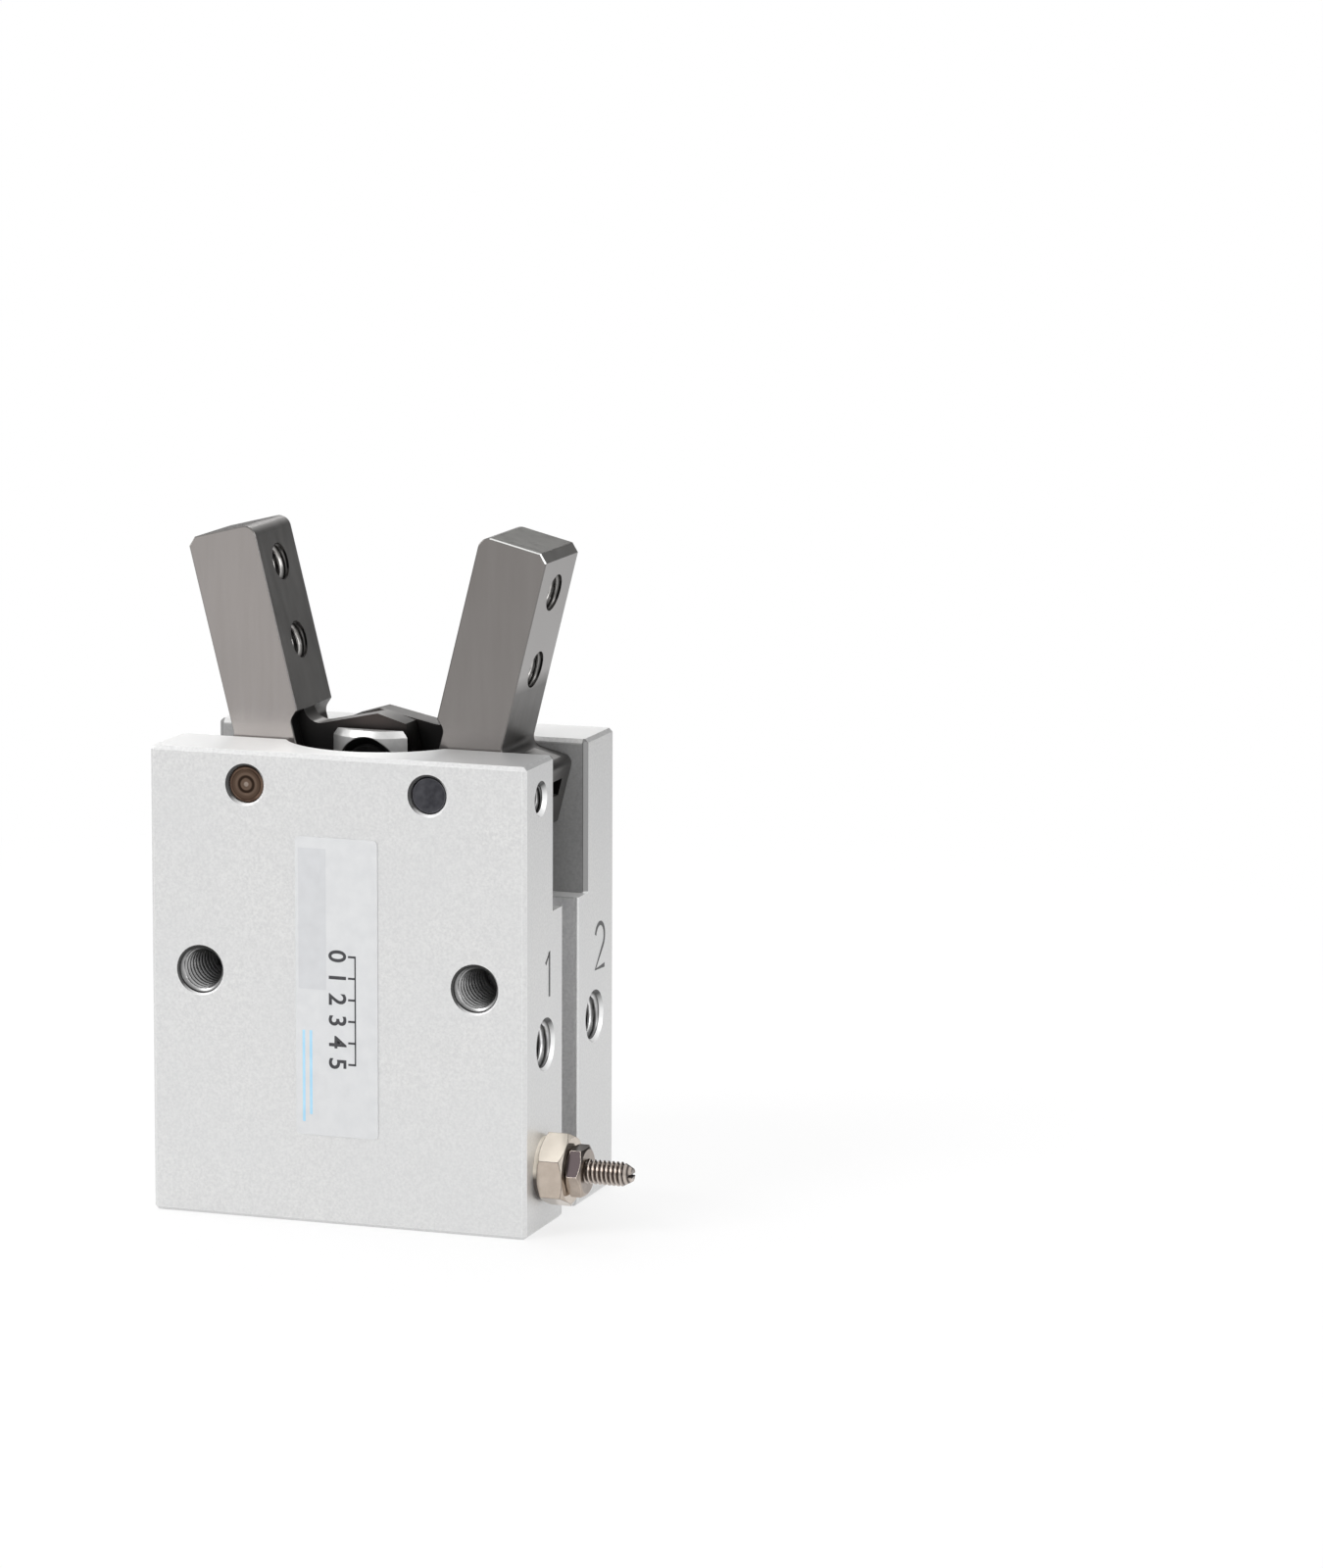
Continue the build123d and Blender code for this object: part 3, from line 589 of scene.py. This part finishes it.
def ground_steel():
    """The fingers: finely ground steel. The lever's cheeks and recess are painted near black as shade."""
    f = Finish("ground_steel", 1.0, 0.30)
    x, y, z = f.parts(f.coords)
    facing = f.surface_normal()
    lay = f.noise(900, 3.0, stretch=(1, 1, 0.08))
    ground, flat_side = ground_faces(f, x, z, facing, f.ramp(lay, 0.3, 0.7))
    lever = lever_bend(f, x, z, facing, lever_roof(f, x, y, z, facing, ground))
    side = f.absolute(x)
    depth = f.absolute(y)
    recess = f.product(
        f.ramp(f.product(x, y), 0.0, 1e-6),
        f.band(depth, RECESS_NEAR),
        f.band(depth, RECESS_FAR),
        f.band(side, RECESS_REACH),
        f.band(z, RECESS_TOP),
    )
    # Painted shade: the lever's cheeks and recess near black, a little lighter near the ridge.
    black_shade_mask = f.largest(f.product(flat_side, f.band(depth, CHEEK_DEPTH)), recess)
    near_ridge = f.product(f.band(z, RIDGE_HEIGHT), f.band(side, RIDGE_REACH))
    black_shade_tone = f.mix(near_ridge, (0.022, 0.021, 0.021), (0.080, 0.068, 0.064))
    f.bump(lay, 0.04, 0.01 * MM)
    polish = f.mix_number(flat_side, f.remap(lay, 0.3, 0.7, 0.31, 0.36), f.remap(lay, 0.3, 0.7, 0.22, 0.27))
    return f.done(f.mix(black_shade_mask, lever, black_shade_tone), f.calculate("ADD", polish, f.product(black_shade_mask, 0.25)))


def cut_thread(name, root, crest, roughness):
    """Cut thread flanks with painted shade at the root and a painted highlight at the crest."""
    f = Finish(name, 1.0, roughness)
    height = f.node("ShaderNodeAttribute", attribute_name="crest").outputs["Fac"]
    tone = f.mix(f.ramp(height, 0.05, 0.80), root, crest)
    return f.done(f.mix(f.remap(f.noise(2500, 2.0), 0.3, 0.7, 0, 0.2), tone, root))


def ringed_end(centre):
    """The tempered pin's turned end: painted light and dark rings round a lighter dimple, a painted
    highlight.
    """
    f = Finish("tempered_pin_end", 1.0, 0.28)
    x, _, z = f.parts(f.coords)
    reach = f.distance(f.calculate("SUBTRACT", x, centre.x), f.calculate("SUBTRACT", z, centre.z))
    tone = f.mix(f.band(reach, PIN_RIM), (0.100, 0.066, 0.048), PIN_DARK)
    for ends, colour in PIN_TONES:
        tone = f.mix(f.band(reach, ends), tone, colour)
    return f.done(tone)


def plated_hexagon():
    """The valve's hexagon: bright nickel, upper flats paler as painted light, painted shade on the edges
    between flats.
    """
    f = Finish("nickel_plate", 1.0, 0.14)
    cloud = f.ramp(f.noise(700, 3.0), 0.35, 0.65)
    upper = f.mix(cloud, (0.95, 0.865, 0.755), (1.0, 0.915, 0.80))
    lower = f.mix(cloud, (0.50, 0.430, 0.365), (0.57, 0.490, 0.420))
    raised = f.ramp(f.surface_normal()[2], -0.05, 0.25)
    f.metallic(raised, 1.0, 0.5)
    edges = f.worn_edges(0.16 * MM, 0.985, 0.93)
    return f.done(f.mix(edges, f.mix(raised, lower, upper), (0.10, 0.085, 0.075)))


def plated_nut():
    """The lock nut: brown nickel, painted shade darkest on its upper front flat, painted highlights on
    chamfer lines.
    """
    f = Finish("nut_nickel", 1.0, 0.24)
    cloud = f.ramp(f.noise(700, 3.0), 0.35, 0.65)
    facing = f.surface_normal()
    upper = f.mix(cloud, (0.16, 0.138, 0.127), (0.20, 0.172, 0.158))
    lower = f.mix(cloud, (0.40, 0.340, 0.290), (0.48, 0.410, 0.350))
    tone = f.mix(f.ramp(facing[2], -0.10, 0.10), lower, upper)
    shaded = f.product(f.ramp(facing[1], -0.55, -0.75), f.ramp(facing[2], 0.1, 0.2))
    tone = f.mix(shaded, tone, (0.036, 0.029, 0.030))
    return f.done(f.mix(f.worn_edges(0.06 * MM), tone, (0.72, 0.64, 0.57)))


def cream_washer():
    """The valve's washer: pale cream, with painted shade below its widest line."""
    f = Finish("pale_washer", 0.0, 0.45)
    pale = f.mix(f.ramp(f.noise(700, 2.0), 0.3, 0.7), (0.86, 0.79, 0.68), (0.93, 0.86, 0.75))
    return f.done(f.mix(f.ramp(f.surface_normal()[2], -0.15, 0.1), (0.085, 0.070, 0.060), pale))


def fork_steel():
    """The rod end: bright turned steel, edges with painted highlights, countersinks painted black as shade.
    """
    f = Finish("fork_steel", 0.85, 0.36)
    tone = f.mix(f.ramp(f.noise(700, 3.0), 0.35, 0.65), (0.66, 0.66, 0.655), (0.76, 0.76, 0.755))
    x, y, z = f.parts(f.coords)
    reach = f.distance(x, f.calculate("SUBTRACT", z, middle_of("cross_pin").z))
    sunk = f.product(f.band(reach, COUNTERSINK), f.band(f.absolute(y), EAR_FACE))
    edge_highlit = f.mix(f.worn_edges(0.06 * MM), tone, (0.95, 0.95, 0.95))
    return f.done(f.mix(sunk, edge_highlit, (0.014, 0.014, 0.014)))


def turned_metal(name, dark, light, roughness, metallic=1.0, rim=None):
    """A turned or polished metal with fine grain and slightly lighter edges as a painted highlight."""
    f = Finish(name, metallic, roughness)
    cloud = f.noise(700, 3.0)
    tone = f.mix(f.ramp(cloud, 0.35, 0.65), dark, light)
    rim = rim or tuple(min(1.0, c * 1.5 + 0.05) for c in light)
    f.bump(f.noise(9000, 2.0), 0.08, 0.005 * MM)
    rough = f.remap(cloud, 0.3, 0.7, roughness * 0.85, roughness * 1.15)
    return f.done(f.mix(f.worn_edges(0.06 * MM), tone, rim), rough)


def rubber():
    f = Finish("seal_rubber", 0.0, 0.62)
    grain = f.noise(5000, 2.0)
    f.bump(grain, 0.2, 0.01 * MM)
    return f.done(f.mix(f.ramp(grain, 0.3, 0.7), (0.015, 0.015, 0.016), (0.035, 0.035, 0.036)))


def film(name, dark, light, roughness):
    """Printed film or moulded plastic, with a faint mottle."""
    f = Finish(name, 0.0, roughness)
    return f.done(f.mix(f.ramp(f.noise(700, 2.0), 0.3, 0.7), dark, light))


body_thread = cut_thread("cut_aluminium_thread", (0.10, 0.10, 0.10), (0.54, 0.54, 0.54), 0.34)
port_thread = cut_thread("port_thread", (0.12, 0.12, 0.12), (0.95, 0.95, 0.95), 0.34)
grub_thread = cut_thread("grub_thread", (0.04, 0.04, 0.04), (0.50, 0.50, 0.50), 0.34)
finger_thread = cut_thread("cut_steel_thread", (0.07, 0.068, 0.066), (0.60, 0.585, 0.57), 0.30)
stud_nickel = cut_thread("stud_nickel", (0.10, 0.086, 0.078), (0.60, 0.53, 0.48), 0.20)
nickel = plated_hexagon()
seal = rubber()
print_grey = film("print_grey", (0.055, 0.055, 0.058), (0.085, 0.085, 0.088), 0.5)
print_black = film("print_black", (0.030, 0.030, 0.034), (0.050, 0.050, 0.055), 0.45)
print_blue = film("print_blue", (0.33, 0.60, 0.80), (0.40, 0.66, 0.84), 0.45)
print_pale = film("print_pale", (0.545, 0.552, 0.566), (0.580, 0.588, 0.602), 0.38)

# A finish for each of the record's material slots, then for the nodes that differ from their slot
SLOT_FINISHES = {
    "anodised_body": blasted_anodised(),
    "finger_steel": ground_steel(),
    "bronze_bush": turned_metal("bronze", (0.42, 0.30, 0.14), (0.55, 0.41, 0.21), 0.38),
    "tempered_pin": turned_metal("tempered_pin", (0.075, 0.046, 0.033), (0.17, 0.112, 0.082), 0.30),
    # Painted highlight: a light line round the blackened pin's edges.
    "blackened_pin": turned_metal("blackened_pin", (0.045, 0.045, 0.052), (0.090, 0.090, 0.100), 0.40,
                                  rim=(0.42, 0.42, 0.44)),
    "blackened_steel": turned_metal("blackened_steel", (0.030, 0.030, 0.032), (0.070, 0.070, 0.072), 0.40),
    "bright_steel": turned_metal("bright_steel", (0.74, 0.74, 0.735), (0.84, 0.84, 0.835), 0.36,
                                 metallic=0.85),
    "plain_aluminium": turned_metal("turned_aluminium", (0.66, 0.66, 0.66), (0.78, 0.78, 0.78), 0.32),
    "seal_rubber": seal,
    "magnet_rubber": seal,
    "pale_washer": cream_washer(),
    "bearing_plastic": film("bearing_plastic", (0.19, 0.16, 0.11), (0.27, 0.23, 0.17), 0.5),
    "nickel_plated_brass": nickel,
    "needle_steel": nickel,
    "label_film": film("label_film", (0.595, 0.602, 0.612), (0.635, 0.641, 0.648), 0.36),
}
NODE_FINISHES = {
    "needle_lock_nut": plated_nut(),
    "rod_end": fork_steel(),
    # Painted shade: the cross pin near black, as shade inside the rod end's hole.
    "cross_pin": turned_metal("cross_pin_shade_black", (0.010, 0.010, 0.010), (0.020, 0.020, 0.020), 0.5,
                              rim=(0.05, 0.05, 0.05)),
}


def assign(obj, material):
    obj.data.materials.clear()
    obj.data.materials.append(material)


def dress_nodes():
    """Every CAD node gets its finish."""
    for sub in frame["record"]["subparts"]:
        node = sub["node"]
        assign(frame["nodes"][node], NODE_FINISHES.get(node, SLOT_FINISHES[sub["material_slot"]]))


def finish_piece(obj, body, material):
    assign(obj, material)
    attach(obj, body)


def thread_sleeve(name, mouth, axis, radius, length, body, material):
    """A threaded lining for one hole, set back from the mouth's chamfer. Radius and length in millimetres."""
    obj = inner_thread(name + "_ridges", mouth, axis, radius * MM, length * MM, PITCH[radius] * MM)
    finish_piece(obj, body, material)


def line_threaded_holes():
    """The finger threads and the air ports, from the record's threaded holes."""
    for name, mount in mounts.items():
        if mount["kind"] != "threaded_hole":
            continue
        axis = Vector(mount["axis"])
        mouth = Vector(mount["pos_m"])
        radius = mount["dims"]["r_mm"]
        length = mount["dims"]["length_mm"]
        if name.startswith("finger"):
            body = "finger_right" if "right" in name else "finger_left"
            mouth += axis * (length / 2 - FINGER_HOLE_INSET) * MM
            length -= 2 * FINGER_HOLE_INSET
            thread_sleeve(name, mouth, axis, radius, length, body, finger_thread)
        else:
            mouth.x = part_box("body")[1].x - PORT_MOUTH * MM
            length -= PORT_END_GAP
            thread_sleeve(name, mouth, axis, radius, length, HOUSING, port_thread)


def line_pattern_holes():
    """The mounting threads, from the record's bolt patterns."""
    for name, depth in MOUNT_DEPTHS.items():
        mount = mounts[name]
        axis = Vector(mount["axis"])
        radius = mount["dims"]["hole_r_mm"]
        for sign, word in ((1, "right"), (-1, "left")):
            mouth = Vector(mount["pos_m"]) - axis * MOUNT_MOUTH * MM
            mouth.x += sign * mount["dims"]["spacing_x_mm"] / 2 * MM
            label = name + "_" + word
            thread_sleeve(label, mouth, axis, radius, depth, HOUSING, body_thread)


def line_grub_holes():
    """Threads of the two small holes over the pin locking screws."""
    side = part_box("body")[1].x
    for sign, word in ((1, "right"), (-1, "left")):
        low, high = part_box("pin_grub_screw_" + word)
        screw_end = high.x if sign > 0 else -low.x
        middle = (low + high) / 2
        mouth = Vector((sign * (side - GRUB_MOUTH * MM), middle.y, middle.z))
        length = (side - GRUB_MOUTH_AND_GAP * MM - screw_end) / MM
        name = "grub_hole_" + word
        thread_sleeve(name, mouth, (sign, 0, 0), 1.5, length, HOUSING, grub_thread)


def cut_box(obj, centre, size):
    """Cuts a box out of a closed piece."""
    verts = [Vector(centre) + Vector((x * size[0], y * size[1], z * size[2])) / 2
             for x in (-1, 1) for y in (-1, 1) for z in (-1, 1)]
    faces = [(0, 1, 3, 2), (4, 6, 7, 5), (0, 4, 5, 1), (2, 3, 7, 6), (0, 2, 6, 4), (1, 5, 7, 3)]
    cutter = add_mesh(obj.name + "_cutter", verts, faces)
    cut = obj.modifiers.new("slot", "BOOLEAN")
    cut.object = cutter
    cut.operation = "DIFFERENCE"
    cut.solver = "EXACT"
    bpy.context.view_layer.update()
    graph = bpy.context.evaluated_depsgraph_get()
    mesh = bpy.data.meshes.new_from_object(obj.evaluated_get(graph))
    obj.modifiers.clear()
    obj.data = mesh
    bpy.data.objects.remove(cutter)


def needle_stud():
    """The threaded needle screw, in place of its plain solid."""
    low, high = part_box("needle_screw")
    middle = (low + high) / 2
    thread_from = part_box("needle_valve_body")[1].x - NEEDLE_HIDDEN_THREAD
    obj = threaded_needle("needle_screw_threaded", (low.x, middle.y, middle.z), high.x, thread_from)
    cut_box(obj, (high.x, middle.y, middle.z), NEEDLE_SLOT)
    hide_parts("needle_screw")
    finish_piece(obj, "needle_screw", stud_nickel)


def pin_face_rings():
    """Turned rings round the centre dimple of the left pin's front end."""
    middle = middle_of("pivot_pin_left")
    sunk = -PIN_FACE_SUNK * MM
    profile = [(0.0, sunk), (PIN_FACE[0][0] * MM, sunk)]
    profile += [(radius * MM, height * MM) for radius, height in PIN_FACE]
    profile.append((0.0, 0.0))
    front = (middle.x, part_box("pivot_pin_left")[0].y, middle.z)
    obj = lathe("pivot_pin_left_turned_face", profile, front, (0, -1, 0))
    finish_piece(obj, HOUSING, ringed_end(middle))


def ribbon(name, points, width, thickness, place):
    """A thin closed strip along a flat path, mitred at its corners."""
    count = len(points)
    left, right = [], []
    for i, (x, y) in enumerate(points):
        before = Vector(points[max(i - 1, 0)])
        after = Vector(points[min(i + 1, count - 1)])
        along = (after - before).normalized()
        across = Vector((-along.y, along.x)) * width / 2
        left.append((x + across.x, y + across.y))
        right.append((x - across.x, y - across.y))
    verts = [place @ Vector((x, y, z)) for z in (0.0, thickness) for x, y in left + right]
    faces = []
    top = 2 * count
    for i in range(count - 1):
        a, b, c, d = i, i + 1, count + i + 1, count + i
        faces.append((a, b, c, d))
        faces.append((top + a, top + d, top + c, top + b))
        faces.append((a, top + a, top + b, b))
        faces.append((c, top + c, top + d, d))
    faces.append((0, count, top + count, top))
    faces.append((count - 1, top + count - 1, top + 2 * count - 1, 2 * count - 1))
    return add_mesh(name, verts, faces)


def side_place(y, z):
    """A frame on the right side face: local x runs to the back, local y up, local z outwards."""
    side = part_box("body")[1].x
    return Matrix(((0, 0, 1, side), (1, 0, 0, y), (0, 1, 0, z), (0, 0, 0, 1)))


def port_numbers():
    """Thin plain numbers over the two air ports."""
    tall = NUMBER_HEIGHT * MM
    one = [(-0.9 * MM, tall * 0.26), (0.25 * MM, tall * 0.5), (0.25 * MM, -tall * 0.5)]
    radius = 1.45 * MM
    two = []
    for i in range(15):
        turn = math.radians(165 - i * 15.5)
        two.append((radius * math.cos(turn), tall * 0.5 - radius + radius * math.sin(turn)))
    two.append((-radius, -tall * 0.5))
    two.append((radius * 1.05, -tall * 0.5))
    for path, (name, (y, z)) in zip((one, two), NUMBER_PLACES.items()):
        obj = ribbon(name, path, NUMBER_STROKE * MM, NUMBER_THICKNESS * MM, side_place(y * MM, z * MM))
        finish_piece(obj, HOUSING, print_grey)


def text_mesh(name, words, size, place, thickness):
    """A word of plain characters as a thin solid, centred on its place."""
    curve = bpy.data.curves.new(name + "_curve", "FONT")
    curve.body = words
    curve.size = size
    curve.align_x = "CENTER"
    curve.align_y = "CENTER"
    curve.extrude = thickness / 2
    curve.offset = size * DIGIT_WEIGHT
    holder = put_in_scene(bpy.data.objects.new(name + "_holder", curve))
    bpy.context.view_layer.update()
    mesh = bpy.data.meshes.new_from_object(holder)
    bpy.data.objects.remove(holder)
    mesh.name = name
    mesh.transform(place)
    return put_in_scene(bpy.data.objects.new(name, mesh))


def panel(name, width, height, place, thickness):
    """A thin printed rectangle centred on its place."""
    x, y = width / 2, height / 2
    corners = [(-x, -y), (x, -y), (x, y), (-x, y)]
    verts = [place @ Vector((x, y, z)) for z in (0.0, thickness) for x, y in corners]
    faces = [(3, 2, 1, 0), (4, 5, 6, 7)] + [(i, (i + 1) % 4, 4 + (i + 1) % 4, 4 + i) for i in range(4)]
    return add_mesh(name, verts, faces)


def label_print():
    """Plain marks on the label: a pale block, a scale with plain numbers, and blue bars."""
    middle = middle_of("label")
    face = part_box("label")[0].y
    thick = PRINT_THICKNESS * MM

    def on_label(right, up):
        """A frame on the label whose local x reads downwards, as the print does."""
        x = middle.x + right * MM
        z = middle.z + up * MM
        return Matrix(((0, 1, 0, x), (0, 0, -1, face), (-1, 0, 0, z), (0, 0, 0, 1)))

    def bar(name, length, width, right, up, material):
        piece = panel(name, length * MM, width * MM, on_label(right, up), thick)
        finish_piece(piece, HOUSING, material)

    bar("label_pale_block", 15.0, 3.1, -2.7, 7.2, print_pale)
    for i in range(6):
        up = DIGIT_TOP - i * DIGIT_STEP
        digit = text_mesh("label_number_%d" % i, str(i), DIGIT_SIZE * MM, on_label(0.0, up), thick)
        finish_piece(digit, HOUSING, print_black)
        bar("label_tick_%d" % i, 0.22, 0.8, 1.7, up, print_black)
    bar("label_scale_line", 11.7, 0.16, 2.1, DIGIT_TOP - 2.5 * DIGIT_STEP, print_black)
    for i, (right, length, up) in enumerate(BLUE_BARS):
        bar("label_blue_bar_%d" % i, length, 0.28, right, up, print_blue)


def floor_material():
    """White to the camera, with a soft shadow near the object. Reflections of it darken towards the back."""
    material = bpy.data.materials.new("studio_floor")
    material.use_nodes = True
    f = Nodes(material.node_tree)
    shader = f.tree.nodes["Principled BSDF"]
    shader.inputs["Base Color"].default_value = (0.88, 0.88, 0.88, 1)
    shader.inputs["Roughness"].default_value = 0.7
    coords = f.node("ShaderNodeTexCoord").outputs["Object"]
    glow = f.node("ShaderNodeEmission")
    f.link(f.white_to_camera(f.remap(f.parts(coords)[1], 0.15, 0.80, 0.92, 0.10)), glow.inputs["Strength"])
    reach = f.node("ShaderNodeVectorMath", operation="LENGTH")
    f.link(coords, reach.inputs[0])
    away = f.remap(reach.outputs["Value"], 0.05, 0.22, 0.72, 1.0)
    rays = f.node("ShaderNodeLightPath").outputs
    seen = f.largest(rays["Is Camera Ray"], rays["Is Glossy Ray"], rays["Is Transmission Ray"])
    mix = f.node("ShaderNodeMixShader")
    f.link(f.product(seen, away), mix.inputs[0])
    f.link(shader.outputs[0], mix.inputs[1])
    f.link(glow.outputs[0], mix.inputs[2])
    f.link(mix.outputs[0], f.tree.nodes["Material Output"].inputs["Surface"])
    return material


def studio_world():
    """White to the camera; for the object, a bright front, a darker back wall and a bright ceiling."""
    world = bpy.data.worlds.new("studio")
    bpy.context.scene.world = world
    world.use_nodes = True
    f = Nodes(world.node_tree)
    _, backwards, up = f.parts(f.node("ShaderNodeTexCoord").outputs["Generated"])
    walls = f.remap(backwards, -0.2, 0.70, 0.72, 0.09)
    room = f.mix_number(f.ramp(up, 0.34, 0.62), walls, 0.82)
    background = f.tree.nodes["Background"]
    background.inputs["Color"].default_value = (1, 1, 1, 1)
    f.link(f.white_to_camera(room), background.inputs["Strength"])


def lamp(name, place, size, power):
    light = bpy.data.lights.new(name, "AREA")
    light.shape = "SQUARE"
    light.size = size
    light.energy = power
    obj = put_in_scene(bpy.data.objects.new(name, light))
    obj.location = place
    obj.rotation_euler = (Vector(LAMP_AIM) - Vector(place)).to_track_quat("-Z", "Y").to_euler()


def stage_and_light():
    """A pale floor, a soft studio world and four soft lamps."""
    mesh = bpy.data.meshes.new("floor")
    r = FLOOR_REACH
    mesh.from_pydata([(-r, -r, 0), (r, -r, 0), (r, r, 0), (-r, r, 0)], [], [(0, 1, 2, 3)])
    floor = put_in_scene(bpy.data.objects.new("floor", mesh))
    assign(floor, floor_material())
    studio_world()
    for name, (place, size, power) in LAMPS.items():
        lamp(name, place, size, power)


def camera():
    data = bpy.data.cameras.new("camera")
    data.sensor_fit = "VERTICAL"
    data.sensor_height = SENSOR_HEIGHT
    data.lens = CAMERA_LENS
    data.clip_start = 0.01
    data.clip_end = 50
    cos_yaw, sin_yaw = math.cos(CAMERA_YAW), math.sin(CAMERA_YAW)
    cos_pitch, sin_pitch = math.cos(CAMERA_PITCH), math.sin(CAMERA_PITCH)
    back = Vector((sin_yaw * cos_pitch, -cos_yaw * cos_pitch, sin_pitch))
    right = Vector((cos_yaw, sin_yaw, 0))
    up = back.cross(right)
    cos_roll, sin_roll = math.cos(CAMERA_ROLL), math.sin(CAMERA_ROLL)
    right, up = cos_roll * right + sin_roll * up, cos_roll * up - sin_roll * right
    place = Matrix((right, up, back)).transposed().to_4x4()
    place.translation = Vector(CAMERA_PLACE)
    obj = put_in_scene(bpy.data.objects.new("camera", data))
    obj.matrix_world = place
    bpy.context.scene.camera = obj


camera()
dress_nodes()
line_threaded_holes()
line_pattern_holes()
line_grub_holes()
needle_stud()
pin_face_rings()
port_numbers()
label_print()
stage_and_light()
bpy.context.scene.view_settings.view_transform = "Standard"
